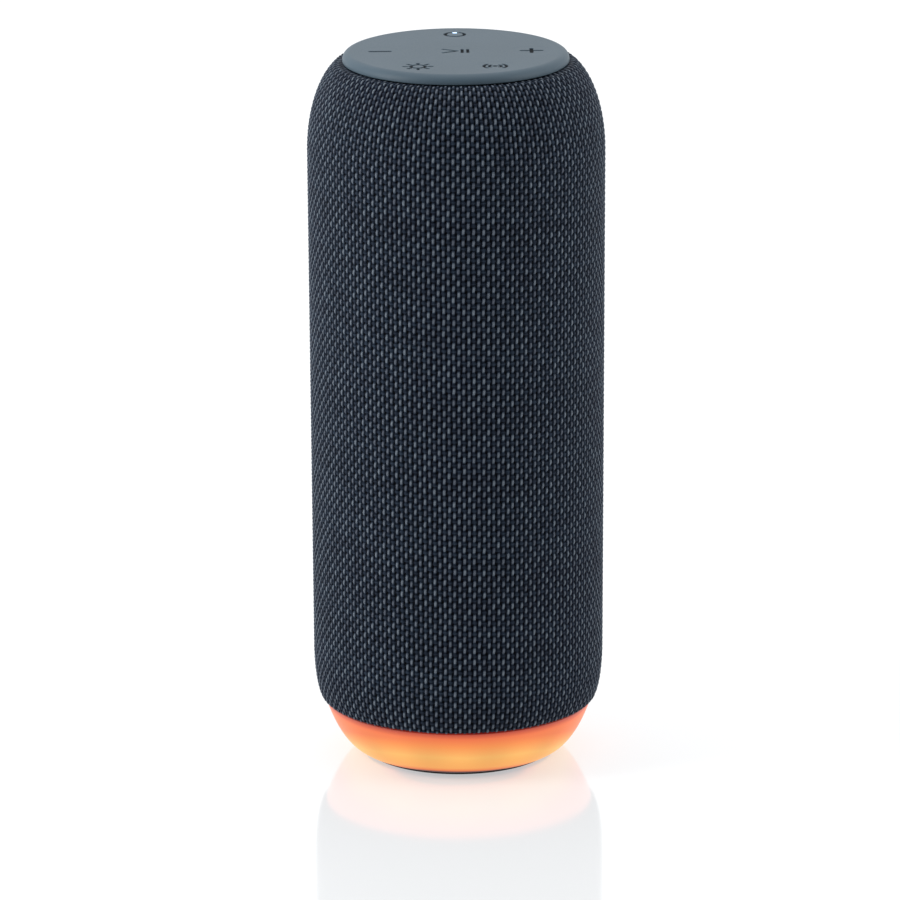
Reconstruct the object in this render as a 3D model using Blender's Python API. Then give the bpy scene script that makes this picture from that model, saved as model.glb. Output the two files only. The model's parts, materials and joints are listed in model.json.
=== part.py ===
"""Portable party speaker: a fabric-covered cylinder with a key pad on top and a lit bowl below.

Units here are millimetres. The object stands on z = 0 with its axis on the Z axis, its front faces
-Y and its port door faces +Y.
"""
import math

import bmesh
import bpy
from mathutils import Matrix, Vector

MM = 0.001              # metres in one of this file's units
GAP = 0.3               # clearance between neighbouring pieces

# Outer shape
BODY_R = 40.0           # widest radius, at the foot of the shoulder
WAIST_R = 39.45         # radius just above the lower curve
FABRIC_BOTTOM = 15.3
FABRIC_TOP = 191.9
FABRIC_T = 1.2
LOWER_CURVE_TOP = 30.0
LOWER_HEIGHTS = (FABRIC_BOTTOM, 18.0, 23.0, LOWER_CURVE_TOP)
LOWER_CURVE_DROP = 2.9
LOWER_CURVE_H = 15.0
SHOULDER_START = 168.0
SHOULDER_DROP = 12.26
SHOULDER_H = 25.56
HEM_R = 29.9            # inner edge of the fabric's folded top hem

# Key pad
PAD_TOP = 194.7
PAD_BOTTOM = 191.9
PAD_R = 30.3
PAD_EDGE_W = 2.2        # how far the rounded edge runs in over the top
PAD_EDGE_H = 2.0        # and down the side
LIP_BOTTOM = 192.3
KEY_R = 6.2
KEY_BOTTOM = 192.5
STEM_R = 1.2
STEM_BOTTOM = 188.4
KEY_PLACES = {
    "power_key": (0.0, 20.7),
    "minus_key": (-20.2, 0.0),
    "play_key": (0.0, 0.0),
    "plus_key": (20.2, 0.0),
    "light_key": (-10.2, -18.6),
    "pairing_key": (10.2, -18.6),
}
LIGHT_PIPE_PLACE = (0.0, 23.0)
LIGHT_PIPE_R = 0.55

# Screws
SCREW_HEAD_R = 2.4
SCREW_SHANK_R = 1.0
SCREW_HOLE_R = 1.3
SCREW_HEAD_H = 1.2

# Shoulder cap and the keys' board
SHELL_T = 1.5
SHELL_INSET = FABRIC_T + GAP
CAP_BOTTOM = 172.3
CAP_T = 2.0
DECK_TOP = 191.6
DECK_R = 29.3
KEY_BOARD_TOP = 185.3
BOARD_T = 1.6
KEY_BOARD_R = 26.8
SWITCH_TOP = 187.8
CAP_BOSS_PLACES = ((16.3, 16.3), (-16.3, 16.3), (0.0, -24.0))
CAP_BOSS_R = 2.6

# Sealed cabinet
CABINET_R = 35.0
CABINET_WALL = 2.2
CABINET_BOTTOM = 19.0
CABINET_TOP = 168.0
LID_BOTTOM = 169.6
LID_TOP = 171.8
LID_SCREW_R = 29.6
LID_SCREW_TURNS = (45, 135, 225, 315)
LID_SCREW_TIP = 160.0
GASKET_INNER_R = 33.1
DRIVER_Z = 135.0
RADIATOR_Z = 70.0
SEAT_DEPTH = 25.0       # distance of each driver's seat from the speaker's axis
SEAT_WEB = 2.4
RECESS_R = 25.0
SEAT_HOLE_R = 20.5
CABLE_X = 28.5          # where the key cable drops through the lid
LED_CABLE_Y = 27.0      # where the light's cable leaves the cabinet's floor

# Battery and boards
CELL_R = 9.15
CELL_BOTTOM = 26.0
CELL_TOP = 91.0
CELL_Y = 9.75
BOARD_FRONT_Y = 21.3
BOARD_BACK_Y = BOARD_FRONT_Y + BOARD_T
SHIELD_T = 0.4

# Rear ports
PORT_HALF_W = 13.0
PORT_BOTTOM = 31.5
PORT_TOP = 48.5
PORT_FACE_R = 39.4
PORT_BACK_Y = 32.0
RECESS_FLOOR_Y = 35.6
DOOR_HALF_W = 10.6
DOOR_BOTTOM = 34.0
DOOR_TOP = 46.0
DOOR_BACK_Y = 35.9
DOOR_T = 1.4
DOOR_AXIS_Y = DOOR_BACK_Y + DOOR_T / 2
DOOR_AXIS_Z = 45.3
PIVOT_R = 0.5
PORT_BOARD_TOP = 38.0
SOCKET_FACE_Y = 34.9
USB_X = -5.0
AUX_X = 5.5
USB_SIZE = (8.94, 3.26)
AUX_NOSE_R = 2.4

# Lit bowl and base
BOWL_TOP = 15.0
BOWL_WALL = 2.0
BOWL_CURVE = ((36.4, BOWL_TOP), (34.1, 8.0), (30.5, 1.5), (26.0, 0.8))
FOOT_R = 25.5
FOOT_INNER_R = 14.0
FOOT_TOP = 1.6
BASE_BOTTOM = 1.9
BASE_TOP = 4.0
REFLECTOR_R = 20.2
BASE_SCREW_R = 18.5
LED_BOARD_BOTTOM = 12.6
LED_BOARD_TOP = 14.0
LED_COUNT = 12
LED_RING_R = 29.0
LED_SIZE = 5.0
LED_H = 1.6

ROUND = 36              # segments on the big round pieces
MEDIUM = 20
SMALL = 12
TINY = 8


# ---------------------------------------------------------------- scene and materials
def clear_scene():
    for thing in list(bpy.data.objects):
        bpy.data.objects.remove(thing, do_unlink=True)


def material(name, colour, roughness, metallic=0.0, glow=0.0):
    made = bpy.data.materials.new(name)
    made.use_nodes = True
    shader = made.node_tree.nodes["Principled BSDF"]
    shader.inputs["Base Color"].default_value = (*colour, 1.0)
    shader.inputs["Roughness"].default_value = roughness
    shader.inputs["Metallic"].default_value = metallic
    if glow:
        shader.inputs["Emission Color"].default_value = (*colour, 1.0)
        shader.inputs["Emission Strength"].default_value = glow
    return made


# ---------------------------------------------------------------- shapes
def add_object(name, form, finish=None, origin=(0, 0, 0)):
    """Turn a bmesh in this file's units into an object whose origin is at the given point."""
    bmesh.ops.recalc_face_normals(form, faces=form.faces)
    start = Vector(origin)
    bmesh.ops.transform(form, matrix=Matrix.Scale(MM, 4) @ Matrix.Translation(-start), verts=form.verts)
    mesh = bpy.data.meshes.new(name)
    form.to_mesh(mesh)
    form.free()
    mesh.shade_smooth()
    mesh.set_sharp_from_angle(angle=math.radians(35))
    made = bpy.data.objects.new(name, mesh)
    made.location = start * MM
    bpy.context.scene.collection.objects.link(made)
    if finish:
        mesh.materials.append(finish)
    return made


def turned(profile, segments=ROUND, turn=0.0):
    """Spin (radius, height) points about Z. A profile that starts and ends on the axis is solid."""
    form = bmesh.new()
    rings = []
    for radius, height in profile:
        if radius == 0:
            rings.append([form.verts.new((0, 0, height))])
            continue
        ring = []
        for step in range(segments):
            angle = 2 * math.pi * step / segments + turn
            ring.append(form.verts.new((radius * math.cos(angle), radius * math.sin(angle), height)))
        rings.append(ring)
    pairs = list(zip(rings, rings[1:]))
    if profile[0][0] and profile[-1][0]:
        pairs.append((rings[-1], rings[0]))
    for low, high in pairs:
        rim = max(low, high, key=len)
        if len(low) != len(high) and low[0].co.z == high[0].co.z:
            form.faces.new(rim)
            continue
        for step in range(segments):
            after = (step + 1) % segments
            corners = [low[step % len(low)], low[after % len(low)],
                       high[after % len(high)], high[step % len(high)]]
            form.faces.new(dict.fromkeys(corners))
    bmesh.ops.delete(form, geom=[vert for vert in form.verts if not vert.link_faces], context="VERTS")
    return form


def box(low, high):
    form = bmesh.new()
    centre = (Vector(low) + Vector(high)) / 2
    size = Vector(high) - Vector(low)
    place = Matrix.Translation(centre) @ Matrix.Diagonal((*size, 1))
    bmesh.ops.create_cube(form, size=1, matrix=place)
    return form


def rod(radius, low, high, segments=SMALL):
    return turned([(0, low), (radius, low), (radius, high), (0, high)], segments)


def stadium(width, height, depth, segments=8):
    """A bar of oblong section, standing on z = 0: two half rounds joined by flats."""
    form = bmesh.new()
    radius = height / 2
    side = width / 2 - radius
    outline = []
    for step in range(2 * segments + 2):
        half = step // (segments + 1)
        angle = math.pi * (step - half) / segments - math.pi / 2
        shift = side if half == 0 else -side
        outline.append((shift + radius * math.cos(angle), radius * math.sin(angle)))
    bottom = [form.verts.new((x, y, 0)) for x, y in outline]
    face = form.faces.new(bottom)
    grown = bmesh.ops.extrude_face_region(form, geom=[face])
    lifted = [item for item in grown["geom"] if isinstance(item, bmesh.types.BMVert)]
    bmesh.ops.translate(form, vec=(0, 0, depth), verts=lifted)
    return form


def moved(form, place):
    bmesh.ops.transform(form, matrix=place, verts=form.verts)
    return form


def at(x, y, z=0.0):
    return Matrix.Translation((x, y, z))


def facing(side, height):
    """Stand a shape turned about Z on one side of the speaker: its +Z points outward there."""
    angle = {"front": -90, "rear": 90, "right": 0, "left": 180}[side]
    outward = Matrix.Rotation(math.radians(angle), 4, "Z") @ Matrix.Rotation(math.radians(90), 4, "Y")
    return Matrix.Translation((0, 0, height)) @ outward


def tool(name, form):
    """A cutter or a lump to join: never a piece of the speaker itself."""
    made = add_object(name, form)
    made.hide_render = True
    made.display_type = "WIRE"
    return made


def combine(target, shape, operation):
    """Cut, join or intersect with a form, or with a tool object that has cuts of its own."""
    step = target.modifiers.new(operation.title(), "BOOLEAN")
    step.operation = operation
    step.solver = "EXACT"
    if isinstance(shape, bmesh.types.BMesh):
        shape = tool(f"{target.name}_tool_{len(target.modifiers)}", shape)
    step.object = shape


def cut(target, *shapes):
    for shape in shapes:
        combine(target, shape, "DIFFERENCE")


def join(target, *shapes):
    for shape in shapes:
        combine(target, shape, "UNION")


def cable(name, route, radius, finish):
    """A round cable along a smooth curve through the route's points."""
    points = [Vector(point) for point in route]
    ends = [2 * points[0] - points[1], *points, 2 * points[-1] - points[-2]]
    smooth = []
    per_span = 3
    for before, start, stop, after in zip(ends, ends[1:], ends[2:], ends[3:]):
        for step in range(per_span):
            t = step / per_span
            smooth.append(0.5 * (2 * start + (stop - before) * t
                                 + (2 * before - 5 * start + 4 * stop - after) * t ** 2
                                 + (3 * start - before - 3 * stop + after) * t ** 3))
    smooth.append(points[-1])
    curve = bpy.data.curves.new(name, "CURVE")
    curve.dimensions = "3D"
    curve.bevel_depth = radius * MM
    curve.bevel_resolution = 2
    curve.use_fill_caps = True
    line = curve.splines.new("POLY")
    line.points.add(len(smooth) - 1)
    for spot, place in zip(line.points, smooth):
        spot.co = (*(place * MM), 1)
    curve.materials.append(finish)
    made = bpy.data.objects.new(name, curve)
    bpy.context.scene.collection.objects.link(made)
    return made


def screw(name, x, y, head_low, head_high, tip, finish):
    """Pan-head screw on a vertical axis, its shank running from the head's near face to the tip."""
    near, far = (head_high, head_low) if tip > head_high else (head_low, head_high)
    profile = [(0, far), (SCREW_HEAD_R, far), (SCREW_HEAD_R, near), (SCREW_SHANK_R, near),
               (SCREW_SHANK_R, tip), (0, tip)]
    return add_object(name, moved(turned(profile, TINY), at(x, y)), finish)


# ---------------------------------------------------------------- outline
def quarter(drop, share):
    """How far an elliptical curve has fallen in, at a share of its height from the straight side."""
    return drop * (1 - math.sqrt(max(0.0, 1 - share ** 2)))


def body_radius(z):
    """Radius of the fabric's outer face at height z."""
    if z < LOWER_CURVE_TOP:
        return WAIST_R - quarter(LOWER_CURVE_DROP, (LOWER_CURVE_TOP - z) / LOWER_CURVE_H)
    if z < SHOULDER_START:
        share = (z - LOWER_CURVE_TOP) / (SHOULDER_START - LOWER_CURVE_TOP)
        return WAIST_R + (BODY_R - WAIST_R) * share
    return BODY_R - quarter(SHOULDER_DROP, (z - SHOULDER_START) / SHOULDER_H)


def shoulder_heights(steps=5):
    """Heights up the shoulder spaced by equal angles of its curve, closer where it turns in."""
    last = math.asin((FABRIC_TOP - SHOULDER_START) / SHOULDER_H)
    return [SHOULDER_START + SHOULDER_H * math.sin(last * step / steps) for step in range(steps + 1)]


def bowl_outline(steps, inset=0.0):
    """Points down the bowl's outer face: a Bezier curve, moved inward by the inset."""
    a, b, c, d = (Vector(point) for point in BOWL_CURVE)
    outline = []
    for step in range(steps + 1):
        t = step / steps
        spot = a * (1 - t) ** 3 + 3 * b * t * (1 - t) ** 2 + 3 * c * t ** 2 * (1 - t) + d * t ** 3
        along = 3 * ((b - a) * (1 - t) ** 2 + 2 * (c - b) * t * (1 - t) + (d - c) * t ** 2)
        inward = Vector((along.y, -along.x)).normalized() * inset
        outline.append((spot.x + inward.x, min(spot.y + inward.y, BOWL_TOP)))
    return outline


# ---------------------------------------------------------------- fabric and shells
def port_window(margin):
    """The rectangular hole that the rear port insert passes through, on the rear side."""
    low = (-PORT_HALF_W - margin, PORT_BACK_Y - 6, PORT_BOTTOM - margin)
    high = (PORT_HALF_W + margin, BODY_R + 5, PORT_TOP + margin)
    return box(low, high)


def make_fabric():
    heights = [*LOWER_HEIGHTS, *shoulder_heights()]
    outside = [(body_radius(z), z) for z in heights]
    hem_under = FABRIC_TOP - FABRIC_T
    hem = [(HEM_R, FABRIC_TOP), (HEM_R, hem_under)]
    inside = [(body_radius(z) - FABRIC_T, z) for z in reversed(heights) if z < hem_under]
    finish = material("fabric", (0.045, 0.055, 0.075), 0.85)
    sleeve = add_object("fabric_sleeve", turned(outside + hem + inside), finish)
    cut(sleeve, port_window(GAP))


def make_grille():
    """Slotted tube under the fabric: two bands of upright slots, open for the sound."""
    half_band = RECESS_R + 1
    bands = [(z - half_band, z + half_band) for z in (RADIATOR_Z, DRIVER_Z)]
    heights = [LOWER_HEIGHTS[0] + GAP, *LOWER_HEIGHTS[1:]]
    for low, high in bands:
        heights += [low, high]
    heights += [SHOULDER_START, CAP_BOTTOM - GAP]
    form = bmesh.new()
    skins = []
    for inset in (SHELL_INSET, SHELL_INSET + SHELL_T):
        rows = []
        for z in heights:
            radius = body_radius(z) - inset
            angles = (2 * math.pi * step / ROUND for step in range(ROUND))
            rows.append([form.verts.new((radius * math.cos(a), radius * math.sin(a), z)) for a in angles])
        skins.append(rows)
    outer, inner = skins
    slots = set()
    for low, _ in bands:
        row = heights.index(low)
        slots.update((row, step) for step in range(0, ROUND, 2))
    for row in range(len(heights) - 1):
        for step in range(ROUND):
            after = (step + 1) % ROUND
            corners = ((row, step), (row, after), (row + 1, after), (row + 1, step))
            if (row, step) not in slots:
                form.faces.new([outer[r][s] for r, s in corners])
                form.faces.new([inner[r][s] for r, s in reversed(corners)])
                continue
            for (r1, s1), (r2, s2) in zip(corners, corners[1:] + corners[:1]):
                form.faces.new([outer[r1][s1], outer[r2][s2], inner[r2][s2], inner[r1][s1]])
    for row in (0, len(heights) - 1):
        for step in range(ROUND):
            after = (step + 1) % ROUND
            form.faces.new([outer[row][step], outer[row][after], inner[row][after], inner[row][step]])
    finish = material("grille", (0.02, 0.02, 0.022), 0.5)
    grille = add_object("grille_shell", form, finish)
    cut(grille, port_window(GAP))


def make_cap():
    """The shoulder under the fabric: a bowl turned over, with a flat deck for the pad and board bosses."""
    seat_z = FABRIC_TOP - FABRIC_T - 2 * GAP
    heights = [CAP_BOTTOM] + [z for z in shoulder_heights() if CAP_BOTTOM < z < seat_z]
    outside = [(body_radius(z) - SHELL_INSET, z) for z in heights]
    deck = [(DECK_R, seat_z), (DECK_R, DECK_TOP), (0, DECK_TOP)]
    ceiling_z = DECK_TOP - CAP_T
    inside = [(body_radius(z) - SHELL_INSET - CAP_T, z) for z in reversed(heights) if z < ceiling_z - CAP_T]
    ceiling = [(0, ceiling_z), (inside[0][0] - CAP_T, ceiling_z)]
    finish = material("cap", (0.03, 0.032, 0.036), 0.45)
    cap = add_object("top_cap", turned(ceiling + inside + outside + deck), finish)
    for x, y in CAP_BOSS_PLACES:
        join(cap, moved(rod(CAP_BOSS_R, KEY_BOARD_TOP + GAP, ceiling_z + CAP_T / 2, TINY), at(x, y)))
    for x, y in CAP_BOSS_PLACES:
        cut(cap, moved(rod(SCREW_HOLE_R, KEY_BOARD_TOP - 1, ceiling_z + 0.4, TINY), at(x, y)))
    for x, y in KEY_PLACES.values():
        cut(cap, moved(rod(STEM_R + 2 * GAP, ceiling_z - 1, DECK_TOP + 1, TINY), at(x, y)))
    cut(cap, moved(rod(LIGHT_PIPE_R + GAP, ceiling_z - 1, DECK_TOP + 1, TINY), at(*LIGHT_PIPE_PLACE)))


# ---------------------------------------------------------------- key pad
def make_pad():
    """The silicone disc: a rounded edge, a lip over the fabric's hem and a step that fits inside it."""
    edge = []
    for turn in (90, 60, 30, 0):
        angle = math.radians(turn)
        edge.append((PAD_R - PAD_EDGE_W * (1 - math.cos(angle)),
                     PAD_TOP - PAD_EDGE_H * (1 - math.sin(angle))))
    step_r = DECK_R - GAP
    under = [(PAD_R, LIP_BOTTOM), (step_r, LIP_BOTTOM), (step_r, PAD_BOTTOM), (0, PAD_BOTTOM)]
    finish = material("pad", (0.19, 0.225, 0.255), 0.55)
    pad = add_object("top_pad", turned([(0, PAD_TOP)] + edge + under), finish)
    for x, y in KEY_PLACES.values():
        cut(pad, moved(rod(KEY_R + GAP, PAD_BOTTOM - 1, PAD_TOP + 1, MEDIUM), at(x, y)))


def make_keys():
    rounding = 0.3
    profile = [(0, PAD_TOP), (KEY_R - rounding, PAD_TOP), (KEY_R, PAD_TOP - rounding), (KEY_R, KEY_BOTTOM),
               (STEM_R, KEY_BOTTOM), (STEM_R, STEM_BOTTOM), (0, STEM_BOTTOM)]
    for name, (x, y) in KEY_PLACES.items():
        finish = material(name, (0.17, 0.20, 0.23), 0.55)
        origin = (x, y, PAD_TOP)
        key = add_object(name, moved(turned(profile, MEDIUM), at(x, y)), finish, origin)
        if name == "power_key":
            cut(key, moved(rod(LIGHT_PIPE_R + GAP, STEM_BOTTOM, PAD_TOP + 1, TINY), at(*LIGHT_PIPE_PLACE)))
    pipe = rod(LIGHT_PIPE_R, SWITCH_TOP - 0.5, PAD_TOP - 0.05, TINY)
    finish = material("light_pipe", (0.55, 0.75, 1.0), 0.2, glow=4.0)
    add_object("power_light_pipe", moved(pipe, at(*LIGHT_PIPE_PLACE)), finish)


def make_key_board():
    low = KEY_BOARD_TOP - BOARD_T
    board = add_object("key_board", rod(KEY_BOARD_R, low, KEY_BOARD_TOP, MEDIUM),
                       material("key_board", (0.03, 0.16, 0.07), 0.4))
    body_half = 1.9
    plunger_half = 1.1
    body_top = SWITCH_TOP - 0.8
    corner = math.sqrt(2)
    root = low + BOARD_T / 2
    switch = [(0, root), (body_half * corner, root), (body_half * corner, body_top),
              (plunger_half * corner, body_top), (plunger_half * corner, SWITCH_TOP), (0, SWITCH_TOP)]
    for x, y in KEY_PLACES.values():
        join(board, moved(turned(switch, 4, math.radians(45)), at(x, y)))
    for x, y in CAP_BOSS_PLACES:
        cut(board, moved(rod(SCREW_HOLE_R, low - 1, KEY_BOARD_TOP + 1, TINY), at(x, y)))
    finish = material("steel", (0.6, 0.6, 0.62), 0.3, 1.0)
    head_top = low - GAP
    for index, (x, y) in enumerate(CAP_BOSS_PLACES, 1):
        screw(f"key_board_screw_{index}", x, y, head_top - SCREW_HEAD_H, head_top,
              DECK_TOP - CAP_T - 1, finish)


# ---------------------------------------------------------------- cabinet
def seat_block(side, height):
    """The solid mass behind one driver or radiator, which the cabinet's cavity stops short of."""
    half_h = RECESS_R + 2
    block = box((-half_h, -BODY_R, SEAT_DEPTH - SEAT_WEB), (half_h, BODY_R, BODY_R))
    return moved(block, facing(side, height))


def lid_screw_place(turn):
    return Matrix.Rotation(math.radians(turn), 4, "Z") @ at(LID_SCREW_R, 0)


def make_cabinet():
    """The sealed box: a round tub with a flat seat on each side, and a boss for each lid screw."""
    floor_top = CABINET_BOTTOM + CABINET_WALL
    cabinet = add_object("cabinet", rod(CABINET_R, CABINET_BOTTOM, CABINET_TOP, ROUND),
                         material("cabinet", (0.025, 0.025, 0.028), 0.6))
    cavity = tool("cabinet_cavity", rod(CABINET_R - CABINET_WALL, floor_top, CABINET_TOP + 2, ROUND))
    seats = (("front", DRIVER_Z), ("rear", DRIVER_Z), ("left", RADIATOR_Z), ("right", RADIATOR_Z))
    for side, z in seats:
        cut(cavity, seat_block(side, z))
    for turn in LID_SCREW_TURNS:
        cut(cavity, moved(rod(3.4, CABINET_TOP - 14, CABINET_TOP + 3, TINY), lid_screw_place(turn)))
    cut(cabinet, cavity)
    opening = [(0, SEAT_DEPTH - SEAT_WEB - 1), (SEAT_HOLE_R, SEAT_DEPTH - SEAT_WEB - 1),
               (SEAT_HOLE_R, SEAT_DEPTH), (RECESS_R, SEAT_DEPTH), (RECESS_R, BODY_R), (0, BODY_R)]
    for side, z in seats:
        cut(cabinet, moved(turned(opening, MEDIUM), facing(side, z)))
    cut(cabinet, port_window(GAP))
    cut(cabinet, moved(rod(1.6, CABINET_BOTTOM - 1, floor_top + 1, TINY), at(0, LED_CABLE_Y)))
    for turn in LID_SCREW_TURNS:
        cut(cabinet, moved(rod(SCREW_HOLE_R, CABINET_TOP - 10, CABINET_TOP + 1, TINY), lid_screw_place(turn)))


def make_lid():
    lid = add_object("cabinet_lid", rod(CABINET_R - 0.2, LID_BOTTOM, LID_TOP, ROUND),
                     material("lid", (0.03, 0.03, 0.033), 0.6))
    steel = bpy.data.materials["steel"]
    head_low = LID_TOP + GAP
    for index, turn in enumerate(LID_SCREW_TURNS, 1):
        place = lid_screw_place(turn)
        cut(lid, moved(rod(SCREW_HOLE_R, LID_BOTTOM - 1, LID_TOP + 1, TINY), place))
        screw(f"lid_screw_{index}", place.translation.x, place.translation.y,
              head_low, head_low + SCREW_HEAD_H, LID_SCREW_TIP, steel)
    cut(lid, moved(rod(1.8, LID_BOTTOM - 1, LID_TOP + 1, TINY), at(CABLE_X, 0)))
    ring = [(GASKET_INNER_R, CABINET_TOP + GAP), (CABINET_R - 0.2, CABINET_TOP + GAP),
            (CABINET_R - 0.2, LID_BOTTOM - GAP), (GASKET_INNER_R, LID_BOTTOM - GAP)]
    add_object("lid_gasket", turned(ring), material("gasket", (0.02, 0.02, 0.02), 0.9))


# ---------------------------------------------------------------- drivers and radiators
def roll_profile():
    """Half-roll rubber ring between a cone's edge and its frame, seen from the seat outward."""
    return [(23.5, 2.1), (23.5, 2.7), (19.6, 2.7), (18.2, 3.7), (16.1, 1.4), (16.1, 0.8),
            (18.2, 2.9), (19.4, 2.1)]


def make_drivers():
    """Two opposed drivers. Each profile is (radius, height above the seat), outward being up."""
    basket = [(24.4, GAP), (20.0, GAP), (15.0, -9.0), (7.8, -9.0), (7.8, -8.0), (14.2, -8.0),
              (18.9, 1.8), (24.4, 1.8)]
    magnet = [(0, -19.0), (14.5, -19.0), (14.5, -9.3), (6.9, -9.3), (6.9, -16.0), (5.6, -16.0),
              (5.6, -9.3), (0, -9.3)]
    cone = [(0, -3.6), (6.3, -5.2), (15.8, 0.9), (15.8, 0.3), (6.45, -5.9),
            (6.45, -13.0), (6.05, -13.0), (6.05, -5.9), (0, -4.2)]
    finishes = {
        "basket": material("basket", (0.05, 0.05, 0.055), 0.4, 0.8),
        "magnet": material("magnet", (0.35, 0.35, 0.37), 0.35, 1.0),
        "surround": material("surround", (0.015, 0.015, 0.015), 0.8),
        "cone": material("cone", (0.04, 0.04, 0.045), 0.7),
    }
    shapes = {"basket": basket, "magnet": magnet, "surround": roll_profile(), "cone": cone}
    for side in ("front", "rear"):
        seat = facing(side, DRIVER_Z)
        centre = seat @ Vector((0, 0, SEAT_DEPTH))
        for part, shape in shapes.items():
            form = moved(turned(shape, MEDIUM), seat @ at(0, 0, SEAT_DEPTH))
            add_object(f"{side}_driver_{part}", form, finishes[part], centre)


def make_radiators():
    """Two opposed passive radiators: a clamping ring, a rubber roll and a weighted plate."""
    frame = [(24.4, GAP), (24.4, 1.8), (18.9, 1.8), (18.9, GAP)]
    plate = [(0, 1.2), (15.8, 1.2), (15.8, 0.2), (6.0, 0.2), (6.0, -3.0), (0, -3.0)]
    finishes = {
        "ring": material("radiator_ring", (0.04, 0.04, 0.045), 0.5),
        "surround": bpy.data.materials["surround"],
        "plate": material("radiator_plate", (0.25, 0.25, 0.27), 0.3, 1.0),
    }
    shapes = {"ring": frame, "surround": roll_profile(), "plate": plate}
    for side in ("left", "right"):
        seat = facing(side, RADIATOR_Z)
        centre = seat @ Vector((0, 0, SEAT_DEPTH))
        for part, shape in shapes.items():
            form = moved(turned(shape, MEDIUM), seat @ at(0, 0, SEAT_DEPTH))
            add_object(f"{side}_radiator_{part}", form, finishes[part], centre)


# ---------------------------------------------------------------- battery and electronics
def make_battery():
    """Two round cells standing side by side in an open tray."""
    holder = add_object("battery_holder", box((-10.9, -20.4, 21.5), (10.9, 20.4, 40)),
                        material("holder", (0.06, 0.06, 0.065), 0.6))
    finish = material("cell", (0.05, 0.2, 0.55), 0.35)
    button_r = 3.5
    shoulder = CELL_TOP - 1.5
    profile = [(0, CELL_BOTTOM), (CELL_R, CELL_BOTTOM), (CELL_R, shoulder), (button_r, shoulder),
               (button_r, CELL_TOP), (0, CELL_TOP)]
    for name, y in (("front_cell", -CELL_Y), ("rear_cell", CELL_Y)):
        cut(holder, moved(rod(CELL_R + GAP, CELL_BOTTOM - GAP, 42, MEDIUM), at(0, y)))
        add_object(name, moved(turned(profile, MEDIUM), at(0, y)), finish)


def on_board(x, z, width, height, depth):
    """A component standing on the main board's rear face, rooted half a millimetre into it."""
    low = (x - width / 2, BOARD_BACK_Y - 0.5, z - height / 2)
    high = (x + width / 2, BOARD_BACK_Y + depth, z + height / 2)
    return box(low, high)


def make_main_board():
    board = add_object("main_board", box((-17, BOARD_FRONT_Y, 24), (17, BOARD_BACK_Y, 98)),
                       material("main_board", (0.02, 0.13, 0.06), 0.4))
    amplifier = on_board(9, 76, 8, 8, 1.2)
    inductors = [on_board(9, z, 6.5, 6.5, 3.4) for z in (65, 56)]
    charger = on_board(-9, 52, 5, 5, 1.0)
    radio = on_board(-7, 72, 10, 10, 1.0)
    capacitors = [on_board(x, 86, 4.5, 4.5, 4.5) for x in (-11, -5)]
    link = on_board(0, 32, 12, 4, 2.6)
    join(board, amplifier, *inductors, charger, radio, *capacitors, link)

    low = (-14, BOARD_BACK_Y + GAP, 61)
    high = (0, BOARD_BACK_Y + 2.9, 82)
    shield = add_object("rf_shield", box(low, high), material("shield", (0.7, 0.7, 0.72), 0.3, 1.0))
    inner_low = (low[0] + SHIELD_T, low[1] - 1, low[2] + SHIELD_T)
    inner_high = (high[0] - SHIELD_T, high[1] - SHIELD_T, high[2] - SHIELD_T)
    cut(shield, box(inner_low, inner_high))


def make_cables():
    """The cables' routes, from their upper ends down to the main board's rear face."""
    finish = material("cable", (0.02, 0.02, 0.02), 0.6)
    red = material("lead", (0.5, 0.03, 0.03), 0.5)
    behind = BOARD_BACK_Y + 1.7
    cable("key_cable", [(24, 0, 182.6), (27.2, 0, 178), (CABLE_X, 0, 171), (CABLE_X, 0, 150),
                        (CABLE_X, 0, 125), (26, 8, 109), (20, 18, 104), (15, 23, 101.5),
                        (12.5, behind, 96), (12, behind, 90)], 1.0, finish)
    cable("front_driver_lead", [(-8, -20, 118), (-9, -18.5, 111), (-14, -8, 104), (-18, 6, 102.5),
                                (-15, 19, 102), (-11, behind, 99), (-10, behind, 91.5)], 0.8, finish)
    cable("rear_driver_lead", [(8, 20, 118), (8, 20, 110), (7, 22.5, 103), (6, behind, 97),
                               (6, behind, 91)], 0.8, finish)
    cable("battery_lead", [(0, 4, 92.4), (0, 9, 97), (0, 18, 101), (0, 23, 100.5), (0.5, behind, 96),
                           (0.5, behind, 91)], 0.8, red)
    cable("led_cable", [(0, LED_CABLE_Y, 14.6), (0, LED_CABLE_Y, 18), (0, LED_CABLE_Y, 22), (0, 26, 25),
                        (0, behind, 28.5)], 0.9, finish)


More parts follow.
